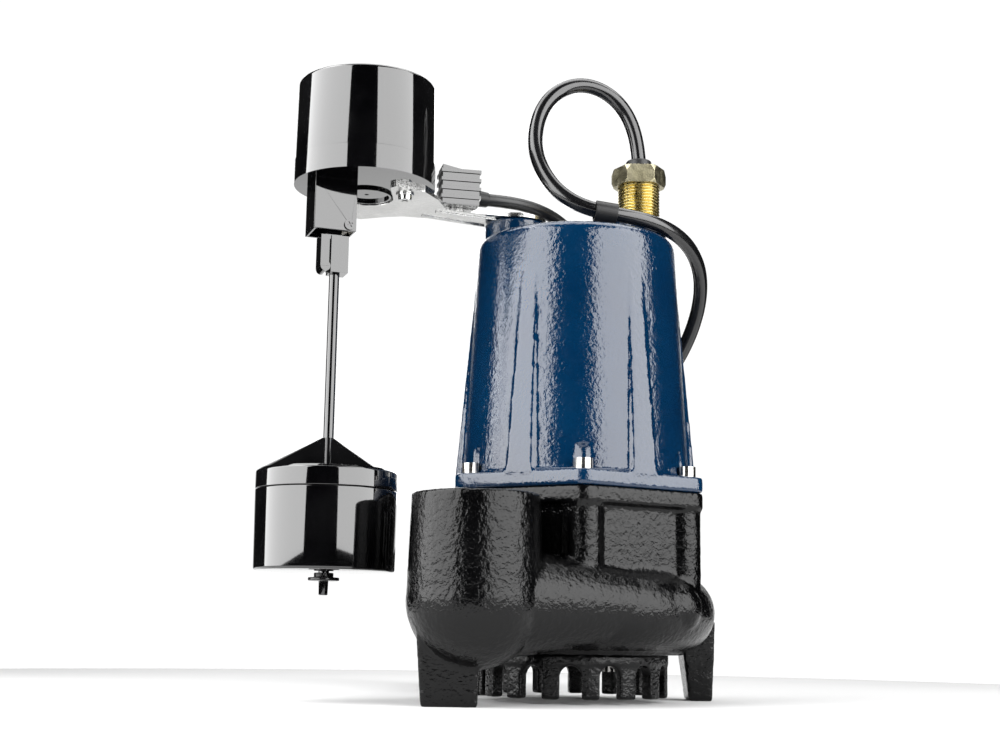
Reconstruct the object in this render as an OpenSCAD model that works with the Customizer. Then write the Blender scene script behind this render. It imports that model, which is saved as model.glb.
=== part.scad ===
// Submersible sump pump with a vertical float switch: cast volute, finned motor housing, cords and plugs.
// Millimetres, +Z up, feet on z = 0. The camera side is -Y. The origin is the middle of the body's footprint.

/* [Cast casing] */
// Height of the joint between volute and motor housing, in mm
joint_z = 109.5; // [100:0.5:120]
// Radius of the bolt circle of that joint, in mm
bolt_ring_r = 66; // [60:0.5:72]
// Radius of each round lobe of the joint flanges, in mm
lobe_r = 8.5; // [7:0.5:11]
// Thickness of each joint flange, in mm
flange_t = 8.5; // [6:0.5:12]
// Radius to the middle of the bowl's rounded section, in mm
bowl_r = 55; // [50:0.5:60]
// Radius of the bowl's rounded section, in mm
bowl_section_r = 20.8; // [17:0.1:24]
// Height of the middle of the bowl, in mm
bowl_z = 47.5; // [44:0.5:52]

/* [Discharge] */
// Left-right place of the discharge from the pump axis, in mm
discharge_x = -52.8; // [-60:0.1:-45]
// Front-back place of the discharge from the pump axis, in mm
discharge_y = -84; // [-95:0.5:-75]
// Height of the discharge mouth, in mm
discharge_z = 103; // [90:0.5:115]
// Outside radius of the discharge boss at its mouth, in mm
discharge_r = 31.8; // [29:0.1:35]
// Radius of the threaded bore, for 1-1/2 inch pipe, in mm
discharge_bore_r = 23.4; // [23:0.1:24]

/* [Motor housing] */
// Height of the flat top of the housing, in mm
housing_top_z = 253; // [240:0.5:265]
// Outside radius at the joint, in mm
housing_low_r = 63.4; // [60:0.1:66]
// Outside radius at the shoulder, in mm
housing_high_r = 55.3; // [52:0.1:58]
// Radius of the rounded shoulder, in mm
shoulder_r = 6; // [4:0.5:9]
// Radius of the bore that grips the stator, in mm
stator_r = 50.8; // [48:0.1:51]

/* [Motor] */
// Length of the laminated stack, in mm
stack_length = 64; // [50:1:76]
// Radius of the rotor, in mm
rotor_r = 26.8; // [24:0.1:30]
// Number of stator slots
slot_count = 24; // [18:6:36]
// Radius of the impeller, in mm
impeller_r = 42; // [36:0.5:44]
// Number of impeller vanes
vane_count = 7; // [5:1:9]

/* [Strainer] */
// Number of fingers around the suction strainer
finger_count = 15; // [12:1:18]
// Outside radius of the strainer, in mm
strainer_r = 50.5; // [46:0.5:54]
// Gap between two fingers, in mm
finger_gap = 11.4; // [8:0.2:13]

/* [Float switch] */
// Left-right place of the switch from the pump axis, in mm
switch_x = -117; // [-125:0.5:-105]
// Front-back place of the switch from the pump axis, in mm
switch_y = -41; // [-50:0.5:-20]
// Height of the underside of the switch, in mm
switch_z = 272; // [260:0.5:285]
// Radius of the switch's lower cover, in mm
switch_r = 38.1; // [34:0.1:42]
// Left-right place of the float rod from the pump axis, in mm
rod_x = -131; // [-136:0.5:-126]
// Front-back place of the float rod from the pump axis, in mm
rod_y = -48; // [-52:0.5:-44]
// Radius of the float rod, in mm
rod_r = 2.75; // [2.5:0.05:3]
// Radius of the float, in mm
float_r = 36.8; // [34:0.1:40]
// Height of the underside of the float at rest, in mm
float_z = 65; // [60:0.5:75]
// Travel of the rod that trips the switch, in mm
trip_travel = 3; // [2:0.5:4]

/* [Cords] */
// Diameter of the power cord, in mm
power_d = 8.4; // [7.5:0.1:9]
// Diameter of the switch cord, in mm
switch_cord_d = 7.2; // [6.5:0.1:8]

/* [Hidden] */
// Overlap that joins solids of one casting, and the air that a cut runs past a face
lap = 0.5;
// How far a solid stays inside the one that it blends into
shy = 0.2;
// Clearance of a shaft in a plain bore, and between fixed parts that slip together
running = 0.05;
slip = 0.1;
// Pump axis in the part's frame, so that the body's footprint is centred on the origin
axis_x = 43.9;
axis_y = 20.5;
// The front bolt stands a little to the right of the front
bolt_turn = 271;
bolt_count = 6;
bolt_r = 3;
bolt_head_r = 4.8;
bolt_head_h = 5.6;
bolt_length = 30;

// Levels of the wet end
casing_floor_z = 25;
casing_wall = 7;
neck_r = 60;
neck_bore_r = 53;
eye_r = 19;
column_r = 10;
column_ring_r = 63;
column_foot_z = 56;
strainer_tip_z = 2.5;
strainer_plate_z = 20;
finger_depth = 6.8;
finger_turn = 7.4 - 90;
strainer_screw_r = 34;

// Elbow and tangential duct
elbow_r = 33.7;
elbow_z = 51;
duct_far = [50, -41, 49];
duct_near_r = 30;
duct_far_r = 14;
passage_r = 21;

// Motor levels
stack_z = 138;
housing_wall_top_z = 247;
housing_ceiling_z = 246;
low_bearing_z = 98;
high_bearing_z = 233;
race_bore_r = 7.5;
race_r = 17.5;
race_w = 11;
race_pitch_r = (race_bore_r + race_r) / 2;
ball_r = 0.29 * (race_r - race_bore_r);
seal_plate_z = 70;
seal_plate_r = 58.3;
housing_mouth_r = 58.5;
housing_mouth_z = 126;

// Bosses on the housing's top: left for the bracket, right for the cord gland, middle for the oil plug
left_boss = [-34.5, 20, 270];
left_boss_r = 17.5;
right_boss = [35.7, 2, 266];
right_boss_r = 15.3;
oil_boss = [0, 24, 259];
oil_boss_r = 10;

// Cord gland
thread_r = 11.8;
thread_pitch = 1.814;
thread_depth = 0.9;
gland_foot_z = 254;
gland_nut_z = 287.5;
gland_nut_h = 10.5;
gland_nut_af = 27;
grommet_top_z = 303.5;

// Float switch frame: the guide box hangs below the lid and is turned to the right
guide_turn = 20;
guide_x = -133.8;
guide_y = -48.2;
guide_size = [22.8, 21, 28.2];
guide_wall = 1.4;
guide_foot_z = switch_z - guide_size[2];
// Pivot of the lever in the guide box's own frame, and the lever's arms to rod and plunger
pivot_x = 7.7;
pivot_z = 247.3;
pivot_r = 1.1;
rod_arm = 11;
plunger_arm = 5.5;
lever_w = 6;
tongue_top_z = 252;
tongue_w = 2.3;
lid_h = 13;
cap_top_z = 329;
cap_wall = 2.2;
bracket_t = 2;

// Float and rod
float_part_z = 106.3;
float_shoulder_z = 115.5;
float_tip_z = 134;
float_tip_r = 3.8;
float_wall = 2;
rod_foot_z = 53;
head_foot_z = 222;
clip_z = 60.4;
clip_h = 4;
clip_r = 8;

// Storage of the unseen cord: two oval hanks behind the pump, the switch cord's on the power cord's
hank_x = -57.5;
hank_y = 170.4;
hank_run = 126;
power_fold = 50.4;
power_turns = 5;
upper_hank_x = -62;
upper_hank_y = 172;
switch_fold = 43.2;
switch_turns = 6;
tie_t = 1;
tie_w = 4.4;
low_hank_z = tie_t;
high_hank_z = low_hank_z + power_turns * power_d + tie_t;
plug_y = 206;
power_plug_z = 13.5;
piggyback_z = 43;

// Colours
cast_black = [0.03, 0.03, 0.03];
cast_blue = [0.03, 0.13, 0.26];
gloss_black = [0.02, 0.02, 0.02];
rubber_black = [0.05, 0.05, 0.05];
steel = [0.75, 0.75, 0.74];
brass = [0.75, 0.6, 0.3];
copper = [0.72, 0.4, 0.22];
iron = [0.42, 0.43, 0.44];
aluminium = [0.8, 0.81, 0.82];
ceramic = [0.9, 0.88, 0.82];

$fn = 64;

// Route of the power cord from the grommet to the hank, about the pump axis
power_route = [
  [35.7, 2, 303.5], [35.5, 2, 311], [34.5, 2, 319], [31.5, 1, 329], [25.5, 0, 338], [16.5, -2, 345],
  [5, -5, 348.5], [-6, -8, 346], [-15.5, -11, 339], [-22, -14, 328], [-25, -18, 314], [-25, -22, 301],
  [-22, -25, 290], [-16.5, -28, 279.5], [-8.5, -30, 271], [2, -31, 265.5], [14.5, -30.5, 263],
  [29, -27, 262.5], [42, -20.5, 261.5], [55, -10, 258.5], [66, 4, 253], [72.5, 18, 245], [75, 30, 236],
  [75, 41, 226], [72, 51, 214], [66, 60, 201], [58, 67, 188], [48, 73, 173], [36, 78, 158], [22, 81, 142],
  [8, 84, 126], [-5, 88, 109], [-16, 95, 91], [-24, 106, 73], [-29.5, 120, 57.5], [-32, 137, 46.5],
  [-32.3, 154, 40.5]
];
// Route of the switch cord from the strain relief to the upper hank
switch_route = [
  [-51.5, 3, 279.5], [-44, 7, 280.3], [-33, 13, 281], [-22, 20, 280.3], [-12, 28, 278], [-3, 37, 273.5],
  [5, 47, 266], [12.5, 57, 255], [16.5, 64, 240], [16.5, 68.5, 224], [13, 72, 206], [7, 75, 188], [-2, 79, 171],
  [-12, 83, 154], [-22, 88, 139], [-31, 95, 125], [-36.5, 105, 113], [-39, 118, 102], [-40.2, 133, 93.5],
  [-40.4, 149, 87.5], [-40.4, 166, 84.4]
];

// --- helpers ---

function unit(v) = v / norm(v);
function around(r, a) = [r * cos(a), r * sin(a)];
function heading(p, i) =
  i == 0 ? unit(p[1] - p[0])
  : i == len(p) - 1 ? unit(p[i] - p[i - 1])
  : unit(unit(p[i + 1] - p[i]) + unit(p[i] - p[i - 1]));
function carried(n, t) = unit(n - (n * t) * t);
// Side directions carried along a route without twist
function sides_along(p, i = 0, n = [0.1, 1, 0.05]) =
  i == len(p) ? [] : let (m = carried(n, heading(p, i))) concat([m], sides_along(p, i + 1, m));

// A round tube swept along a route
module tube(route, r, sides = 10) {
  side = sides_along(route);
  last = len(route) - 1;
  points = [
    for (i = [0:last], k = [0:sides - 1])
      route[i] + r * (cos(360 * k / sides) * side[i] + sin(360 * k / sides) * cross(heading(route, i), side[i]))
  ];
  walls = [
    for (i = [0:last - 1], k = [0:sides - 1])
      let (a = i * sides + k, b = i * sides + (k + 1) % sides)
      each [[a, a + sides, b], [b, a + sides, b + sides]]
  ];
  ends = [[for (k = [0:sides - 1]) k], [for (k = [sides - 1:-1:0]) last * sides + k]];
  polyhedron(points, concat(walls, ends), convexity = 8);
}

// Everything is drawn about the pump axis and set into the part's frame here
module placed() {
  translate([axis_x, axis_y, 0]) children();
}

module ring(outer, inner, h) {
  difference() {
    cylinder(r = outer, h = h);
    translate([0, 0, -lap]) cylinder(r = inner, h = h + 2 * lap);
  }
}

module at_bolts(r = bolt_ring_r) {
  for (k = [0:bolt_count - 1]) rotate(bolt_turn + 360 * k / bolt_count) translate([r, 0, 0]) children();
}

// A cylinder or cone from one point to another
module between(a, b, r1, r2) {
  d = b - a;
  translate(a)
    rotate([0, acos(d[2] / norm(d)), atan2(d[1], d[0])])
      cylinder(r1 = r1, r2 = r2, h = norm(d));
}

// The six-lobed outline that both joint flanges share
module lobed_plate(ring_r, lobe, h) {
  linear_extrude(h) {
    polygon([
      for (k = [0:bolt_count - 1], s = [-30, 30])
        let (a = bolt_turn + 60 * k) around(ring_r, a) + around(lobe - shy, a + s)
    ]);
    at_bolts(ring_r) circle(r = lobe);
  }
}

// --- wet end ---

leg_h = 44;

// A tapered leg: wide where it meets the casting, narrower at the floor
module leg(low, high) {
  intersection() {
    rotate([90, 0, 0])
      translate([0, 0, -high[3]])
        linear_extrude(high[3] - high[2])
          polygon([[low[0], 0], [low[1], 0], [high[1], leg_h], [high[0], leg_h]]);
    rotate([90, 0, 90])
      translate([0, 0, high[0]])
        linear_extrude(high[1] - high[0])
          polygon([[low[2], 0], [low[3], 0], [high[3], leg_h], [high[2], leg_h]]);
  }
}

module casing_outside() {
  rotate_extrude() translate([bowl_r, bowl_z]) circle(r = bowl_section_r);
  translate([0, 0, casing_floor_z]) cylinder(r = bowl_r + 4, h = 2 * (bowl_z - casing_floor_z) - 3);
  translate([0, 0, bowl_z]) cylinder(r = neck_r, h = joint_z - bowl_z - lap);
  translate([0, 0, bowl_z + 14])
    linear_extrude(joint_z - bowl_z - 14 - lap)
      polygon([for (k = [0:5]) around((neck_r + shy) / cos(30), bolt_turn + 60 * k)]);
  translate([0, 0, joint_z - flange_t]) lobed_plate(bolt_ring_r, lobe_r, flange_t);
  translate([0, 0, column_foot_z]) at_bolts(column_ring_r) cylinder(r = column_r, h = joint_z - column_foot_z - lap);
}

module discharge_outside() {
  elbow = [discharge_x, discharge_y, elbow_z];
  translate(elbow) {
    sphere(r = elbow_r);
    cylinder(r1 = elbow_r - shy, r2 = discharge_r, h = discharge_z - elbow_z);
  }
  between(elbow, duct_far, duct_near_r, duct_far_r);
  translate(duct_far) sphere(r = duct_far_r + shy);
}

module wet_passages() {
  // impeller chamber and the neck above it
  rotate_extrude() translate([bowl_r - 5, bowl_z]) circle(r = bowl_section_r - casing_wall + 1);
  translate([0, 0, casing_floor_z + casing_wall]) cylinder(r = bowl_r - 5, h = 30);
  translate([0, 0, bowl_z]) cylinder(r = neck_bore_r, h = joint_z - bowl_z + lap);
  translate([0, 0, casing_floor_z - lap]) cylinder(r = eye_r, h = casing_wall + 2 * lap);
  // duct, elbow and threaded mouth
  elbow = [discharge_x, discharge_y, elbow_z];
  between(elbow, duct_far, passage_r, duct_far_r - 6);
  translate([discharge_x, discharge_y, elbow_z - passage_r - shy])
    cylinder(r = passage_r + 2 * shy, h = discharge_z - elbow_z);
  translate([discharge_x, discharge_y, discharge_z - 25]) cylinder(r = discharge_bore_r, h = 25 + lap);
}

module volute_casing() {
  color(cast_black) placed() difference() {
    union() {
      casing_outside();
      discharge_outside();
      leg([-77.8, -50.5, -93, -71], [-81, -50, -97, -68]);
      leg([65.5, 78.5, 24, 48], [60, 80, 20, 52]);
      leg([-60, -38, 56, 68], [-63, -35, 50, 70]);
    }
    wet_passages();
    translate([0, 0, joint_z - bolt_length + flange_t - lap])
      at_bolts() cylinder(r = bolt_r + running, h = bolt_length);
    for (k = [0:2]) rotate(60 + 120 * k) translate([strainer_screw_r, 0, casing_floor_z - lap])
      cylinder(r = 2 + running, h = casing_wall - 1);
  }
}

module suction_strainer() {
  wall_h = strainer_plate_z - strainer_tip_z;
  arch_r = finger_gap / 2;
  color(cast_black) placed() difference() {
    union() {
      translate([0, 0, strainer_plate_z]) cylinder(r = strainer_r + 0.5, h = casing_floor_z - strainer_plate_z);
      translate([0, 0, strainer_tip_z]) ring(strainer_r, strainer_r - finger_depth, wall_h + lap);
    }
    translate([0, 0, strainer_plate_z - lap]) cylinder(r = eye_r, h = 10);
    for (k = [0:finger_count - 1]) rotate(finger_turn + (k + 0.5) * 360 / finger_count)
      translate([strainer_r - 2 * finger_depth, 0, strainer_plate_z - arch_r - lap]) {
        translate([0, -arch_r, -strainer_plate_z]) cube([3 * finger_depth, finger_gap, strainer_plate_z]);
        rotate([0, 90, 0]) cylinder(r = arch_r, h = 3 * finger_depth);
      }
    for (k = [0:2]) rotate(60 + 120 * k) translate([strainer_screw_r, 0, strainer_plate_z - lap])
      cylinder(r = 2 + slip, h = 10);
  }
}

module strainer_screws() {
  color(steel) placed() for (k = [0:2]) rotate(60 + 120 * k) translate([strainer_screw_r, 0, 0]) {
    translate([0, 0, strainer_plate_z - 3.5]) difference() {
      cylinder(r = 4, h = 3.5);
      translate([0, 0, -lap]) cylinder(r = 1.7, h = 2.5, $fn = 6);
    }
    translate([0, 0, strainer_plate_z - lap]) cylinder(r = 2, h = casing_floor_z - strainer_plate_z + 5);
  }
}

// --- motor housing ---

pad_top_z = 236;

// A flat pad that grows out of the tapered wall down to the flange
module pad() {
  foot = joint_z + flange_t - lap;
  face_low = bolt_ring_r * cos(30) + lobe_r + 0.2;
  intersection() {
    rotate([90, 0, 0])
      translate([0, 0, -10])
        linear_extrude(20) polygon([[40, foot], [face_low, foot], [housing_high_r + 0.4, pad_top_z], [40, pad_top_z]]);
    rotate([90, 0, 90]) translate([0, 0, 40]) linear_extrude(40) polygon([[-8, foot], [8, foot], [3.5, pad_top_z], [-3.5, pad_top_z]]);
  }
}

module housing_outside() {
  translate([0, 0, joint_z]) {
    lobed_plate(bolt_ring_r, lobe_r, flange_t);
  }
  rotate_extrude()
    polygon(concat(
      [[0, joint_z + shy], [housing_low_r, joint_z + shy]],
      [for (a = [0:15:90]) [housing_high_r - shoulder_r, housing_wall_top_z] + around(shoulder_r, a)],
      [[0, housing_top_z]]
    ));
  for (k = [0:5]) rotate(bolt_turn + 30 + 60 * k) pad();
  for (b = [[left_boss, left_boss_r], [right_boss, right_boss_r], [oil_boss, oil_boss_r]])
    translate([b[0][0], b[0][1], housing_ceiling_z]) cylinder(r = b[1], h = b[0][2] - housing_ceiling_z);
}

module motor_housing() {
  color(cast_blue) placed() difference() {
    union() {
      difference() {
        housing_outside();
        translate([0, 0, joint_z - lap]) cylinder(r = housing_mouth_r, h = housing_mouth_z - joint_z + lap);
        translate([0, 0, joint_z]) cylinder(r = stator_r + running, h = housing_ceiling_z - joint_z);
      }
      translate([0, 0, high_bearing_z]) ring(race_r + 4, race_r + running, housing_ceiling_z - high_bearing_z + lap);
    }
    translate([right_boss[0], right_boss[1], joint_z + 100]) cylinder(r = thread_r + running, h = 100);
    translate([left_boss[0], left_boss[1], left_boss[2] - 16]) cylinder(r = 3 + running, h = 20);
    translate([oil_boss[0], oil_boss[1], housing_ceiling_z - lap]) cylinder(r = 6 + running, h = 30);
    translate([0, 0, joint_z - lap]) at_bolts() cylinder(r = bolt_r + 0.3, h = flange_t + 2 * lap);
    translate([0, 0, joint_z + flange_t]) at_bolts() cylinder(r = bolt_head_r + 0.6, h = 14);
  }
}

module flange_bolts() {
  color(steel) placed() at_bolts() {
    translate([0, 0, joint_z + flange_t]) difference() {
      cylinder(r = bolt_head_r, h = bolt_head_h);
      translate([0, 0, bolt_head_h - 3]) cylinder(r = 2.9, h = 4, $fn = 6);
    }
    translate([0, 0, joint_z + flange_t - bolt_length + 2]) cylinder(r = bolt_r, h = bolt_length - 2 + lap);
  }
}

module oil_fill_plug() {
  color(cast_blue) placed() translate([oil_boss[0], oil_boss[1], 0]) {
    translate([0, 0, housing_ceiling_z + 2]) cylinder(r = 6, h = 16);
    intersection() {
      translate([0, 0, oil_boss[2]]) cylinder(r = 9, h = 12);
      translate([0, 0, oil_boss[2] - 1]) sphere(r = 12);
    }
  }
}

// --- motor ---

module motor_shaft() {
  color(steel) placed() {
    translate([0, 0, 36]) cylinder(r = 6.35, h = 40 + lap);
    translate([0, 0, 76]) cylinder(r = race_bore_r, h = 40);
    translate([0, 0, 116]) cylinder(r = 9, h = 114);
    translate([0, 0, 230]) cylinder(r = race_bore_r, h = 14);
  }
}

module rotor_core() {
  color(iron) placed() translate([0, 0, stack_z]) ring(rotor_r, 9, stack_length);
}

module rotor_end_rings() {
  color(aluminium) placed() for (z = [stack_z - 6, stack_z + stack_length]) translate([0, 0, z])
    ring(rotor_r - 1, 17, 6);
}

slot_in_r = rotor_r + 3;
slot_out_r = 42;
slot_w = 4;

module stator_core() {
  color(iron) placed() translate([0, 0, stack_z]) difference() {
    ring(stator_r, rotor_r + 0.5, stack_length);
    for (k = [0:slot_count - 1]) rotate(360 * k / slot_count) {
      translate([slot_in_r, -slot_w / 2, -lap]) cube([slot_out_r - slot_in_r, slot_w, stack_length + 2 * lap]);
      translate([rotor_r, -0.8, -lap]) cube([4, 1.6, stack_length + 2 * lap]);
    }
  }
}

module stator_windings() {
  end_h = 11;
  color(copper) placed() {
    for (k = [0:slot_count - 1]) rotate(360 * k / slot_count)
      translate([slot_in_r + 0.3, -slot_w / 2 + 0.3, stack_z - 3])
        cube([slot_out_r - slot_in_r - 0.6, slot_w - 0.6, stack_length + 6]);
    for (z = [stack_z - end_h - 1, stack_z + stack_length + 1]) translate([0, 0, z]) rotate_extrude() {
      translate([36.5, end_h / 2]) circle(r = 5);
      translate([slot_in_r + 0.8, 1]) square([12.5, end_h - 2]);
    }
  }
}

// Ball bearing pieces: the outer race carries the balls, the inner race turns with the shaft
module bearing_outer() {
  rim = race_pitch_r + 0.6 * ball_r;
  translate([0, 0, race_w / 2]) {
    rotate_extrude() {
      difference() {
        translate([rim, -race_w / 2]) square([race_r - rim, race_w]);
        translate([race_pitch_r, 0]) circle(r = ball_r - 0.15);
      }
      translate([race_pitch_r - 0.3 * ball_r, -0.6]) square([0.8 * ball_r, 1.2]);
    }
    for (k = [0:7]) rotate(45 * k) translate([race_pitch_r, 0, 0]) rotate([90, 0, 0]) sphere(r = ball_r);
  }
}

module bearing_inner() {
  difference() {
    ring(race_pitch_r - 0.6 * ball_r, race_bore_r, race_w);
    translate([0, 0, race_w / 2]) rotate_extrude() translate([race_pitch_r, 0]) circle(r = ball_r + 0.3);
  }
}

module lower_bearing_outer() {
  color(steel) placed() translate([0, 0, low_bearing_z]) bearing_outer();
}

module lower_bearing_inner() {
  color(steel) placed() translate([0, 0, low_bearing_z]) bearing_inner();
}

module upper_bearing_outer() {
  color(steel) placed() translate([0, 0, high_bearing_z]) bearing_outer();
}

module upper_bearing_inner() {
  color(steel) placed() translate([0, 0, high_bearing_z]) bearing_inner();
}

module wave_washer() {
  color(steel) placed() translate([0, 0, high_bearing_z + race_w + 0.1]) ring(race_r - 0.3, 14, 1.2);
}

module seal_plate() {
  color(cast_black) placed() difference() {
    union() {
      translate([0, 0, joint_z]) cylinder(r = seal_plate_r, h = flange_t);
      translate([0, 0, seal_plate_z]) cylinder(r = neck_bore_r - slip, h = joint_z - seal_plate_z + lap);
    }
    difference() {
      translate([0, 0, seal_plate_z + 6]) cylinder(r = 46, h = 60);
      translate([0, 0, seal_plate_z]) cylinder(r = 23, h = 41);
    }
    translate([0, 0, low_bearing_z]) cylinder(r = race_r + running, h = 60);
    translate([0, 0, seal_plate_z - lap]) cylinder(r = 13, h = 7);
    translate([0, 0, seal_plate_z]) cylinder(r = 9.5, h = 60);
    translate([0, 0, joint_z - 12]) rotate_extrude() translate([neck_bore_r, 0]) circle(r = 1.6);
  }
}

module seal_plate_o_ring() {
  color(rubber_black) placed() translate([0, 0, joint_z - 12]) intersection() {
    rotate_extrude() translate([neck_bore_r, 0]) circle(r = 1.5);
    translate([0, 0, -5]) cylinder(r = neck_bore_r - running, h = 10);
  }
}

module seal_seat() {
  color(ceramic) placed() translate([0, 0, seal_plate_z - 0.5]) ring(12.9, 8, 6.5);
}

module seal_head() {
  color(rubber_black) placed() {
    translate([0, 0, 65.5]) ring(12, 6.35 + running, 3.8);
    translate([0, 0, 58]) ring(8, 6.35 + running, 7.5 + lap);
  }
}

module seal_spring() {
  coils = 4;
  color(steel) placed() for (k = [0:coils - 1]) translate([0, 0, 59.3 + 1.7 * k])
    rotate_extrude() translate([9.8, 0]) circle(r = 0.75);
}

module impeller() {
  color(cast_black) placed() {
    translate([0, 0, 52]) ring(impeller_r, 6.35, 4);
    translate([0, 0, 44]) ring(10.5, 6.35, 14);
    for (k = [0:vane_count - 1]) rotate(360 * k / vane_count)
      intersection() {
        translate([22, 12, 38]) ring(24, 20.6, 14 + lap);
        translate([9.5, -30, 38]) cube([40, 30, 16]);
        translate([0, 0, 38]) ring(impeller_r - 0.5, 10, 16);
      }
  }
}

module impeller_nut() {
  color(brass) placed() translate([0, 0, 38]) difference() {
    cylinder(r = 9.2, h = 6, $fn = 6);
    translate([0, 0, -lap]) cylinder(r = 6.35 + running, h = 7);
  }
}

module run_capacitor() {
  color(gloss_black) placed() translate([-21, 34, 229.5]) rotate([0, 90, 0]) {
    cylinder(r = 11.5, h = 38);
    for (s = [-4, 4]) translate([0, s, 37]) cylinder(r = 1.2, h = 5);
  }
}

module thermal_protector() {
  color(gloss_black) placed() translate([-44, -18, 216]) cube([16, 10, 7]);
}

module motor_leads() {
  color(rubber_black) placed() for (k = [0:2]) translate([33 + 2.7 * k, 0.6 + 2 * (k % 2), 214.5])
    cylinder(r = 1.2, h = 60);
}

// --- cord gland ---

module gland_body() {
  teeth = floor((gland_nut_z + 6 - gland_foot_z) / thread_pitch);
  color(brass) placed() translate([right_boss[0], right_boss[1], gland_foot_z]) difference() {
    union() {
      cylinder(r = thread_r - thread_depth, h = teeth * thread_pitch);
      for (k = [0:teeth - 1]) translate([0, 0, k * thread_pitch]) {
        cylinder(r1 = thread_r - thread_depth, r2 = thread_r, h = 0.45 * thread_pitch);
        translate([0, 0, 0.45 * thread_pitch])
          cylinder(r1 = thread_r, r2 = thread_r - thread_depth, h = 0.45 * thread_pitch);
      }
    }
    translate([0, 0, -lap]) cylinder(r = 6.5, h = 60);
  }
}

module gland_nut() {
  color(brass) placed() translate([right_boss[0], right_boss[1], gland_nut_z]) difference() {
    intersection() {
      cylinder(r = gland_nut_af / 2 / cos(30), h = gland_nut_h, $fn = 6);
      translate([0, 0, -6]) cylinder(r1 = 19.5, r2 = 14.4, h = gland_nut_h + 6.4);
      cylinder(r1 = 14.5, r2 = 20, h = 12);
    }
    translate([0, 0, -lap]) cylinder(r = thread_r + running, h = 7 + lap);
    cylinder(r = 8.3, h = 12);
  }
}

module cord_grommet() {
  color(rubber_black) placed() translate([right_boss[0], right_boss[1], 0]) {
    translate([0, 0, 272]) ring(6.3, power_d / 2, 22.6);
    translate([0, 0, 294.6]) difference() {
      cylinder(r1 = 8.1, r2 = 7.2, h = grommet_top_z - 294.6);
      translate([0, 0, -lap]) cylinder(r = power_d / 2, h = 12);
    }
  }
}

// --- switch bracket ---

bracket_screw_a = [-95.3, -37.4];
bracket_screw_b = [-130, -13];

module bracket_outline() {
  // pad under the switch, arm to the boss, and the round end on the boss
  polygon([
    [-99, -52], [-84, -42], [-77.5, -27], [-73.7, -8.5], [-56, -2.5], [-38, 2.9], [-30, 37],
    [-50.5, 28], [-85, 9.5], [-99, 6.5], [-111, 9], [-124, 13.5], [-136, 6], [-143, -10], [-132, -22]
  ]);
  translate([left_boss[0], left_boss[1]]) circle(r = left_boss_r + 0.3);
}

module switch_bracket() {
  color(steel) placed() translate([0, 0, switch_z - bracket_t]) difference() {
    union() {
      linear_extrude(bracket_t) difference() {
        bracket_outline();
        translate([left_boss[0], left_boss[1]]) circle(r = 3.3);
        translate(bracket_screw_a) circle(r = 2.2);
        translate(bracket_screw_b) circle(r = 2.2);
        translate([-117, -29]) circle(r = 14.6);
        translate([-131.6, -60]) square([29.2, 31]);
      }
      // pressed stiffening ribs along the arm
      for (rib = [[[-80, -5], [-46, 9]], [[-88, 3], [-53, 23]]]) {
        d = rib[1] - rib[0];
        translate([rib[0][0], rib[0][1], -0.8]) rotate(atan2(d[1], d[0]))
          translate([0, -0.8, 0]) cube([norm(d), 1.6, 0.8 + lap]);
      }
    }
  }
}

module bracket_screws() {
  color(steel) placed() for (p = [bracket_screw_a, bracket_screw_b]) translate([p[0], p[1], switch_z - bracket_t]) {
    translate([0, 0, -0.9]) cylinder(r = 4.9, h = 0.9);
    translate([0, 0, -3.6]) difference() {
      cylinder(r1 = 3.5, r2 = 4, h = 2.8);
      for (a = [45, 135]) rotate(a) translate([-2.4, -0.45, -lap]) cube([4.8, 0.9, 1.8]);
    }
    translate([0, 0, -lap]) cylinder(r = 2, h = 6);
  }
}

module bracket_bolt() {
  color(steel) placed() translate([left_boss[0], left_boss[1], switch_z]) {
    cylinder(r = 5.8, h = 4, $fn = 6);
    translate([0, 0, -16]) cylinder(r = 3, h = 16 + lap);
  }
}

// --- float switch ---

module at_switch(z) {
  translate([switch_x, switch_y, z]) children();
}

module in_guide() {
  translate([guide_x, guide_y, 0]) rotate(guide_turn) children();
}

module plunger_hole(r) {
  in_guide() translate([pivot_x - plunger_arm, 0, guide_foot_z]) cylinder(r = r, h = 90);
}

module switch_cap() {
  h = cap_top_z - switch_z - lid_h;
  color(gloss_black) placed() at_switch(switch_z + lid_h) difference() {
    union() {
      cylinder(r1 = switch_r - 0.4, r2 = switch_r - 0.8, h = h - 2);
      rotate_extrude() translate([switch_r - 2.8, h - 2]) circle(r = 2);
      translate([0, 0, h - 2]) cylinder(r = switch_r - 2.8, h = 2);
    }
    translate([0, 0, -lap]) cylinder(r = switch_r - 0.8 - cap_wall, h = h - cap_wall + lap);
  }
}

module switch_lid() {
  color(gloss_black) placed() difference() {
    union() {
      at_switch(switch_z) difference() {
        cylinder(r = switch_r, h = lid_h);
        translate([0, 0, 3]) cylinder(r = switch_r - cap_wall - 1.4, h = lid_h);
      }
      // spigot that the cap slips over
      at_switch(switch_z + 3 - lap) ring(switch_r - cap_wall - 0.9, switch_r - cap_wall - 2.6, lid_h + 2);
      // disc boss on the underside
      translate([-117, -29, switch_z - 1.4]) ring(13.6, 12.4, 1.4 + lap);
    }
    translate([-117, -29, switch_z - lap]) cylinder(r = 1.2, h = 2);
    for (p = [bracket_screw_a, bracket_screw_b])
      translate([p[0], p[1], switch_z - 2]) cylinder(r = 2 + running, h = 9);
    plunger_hole(2.5 + running);
  }
}

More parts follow.
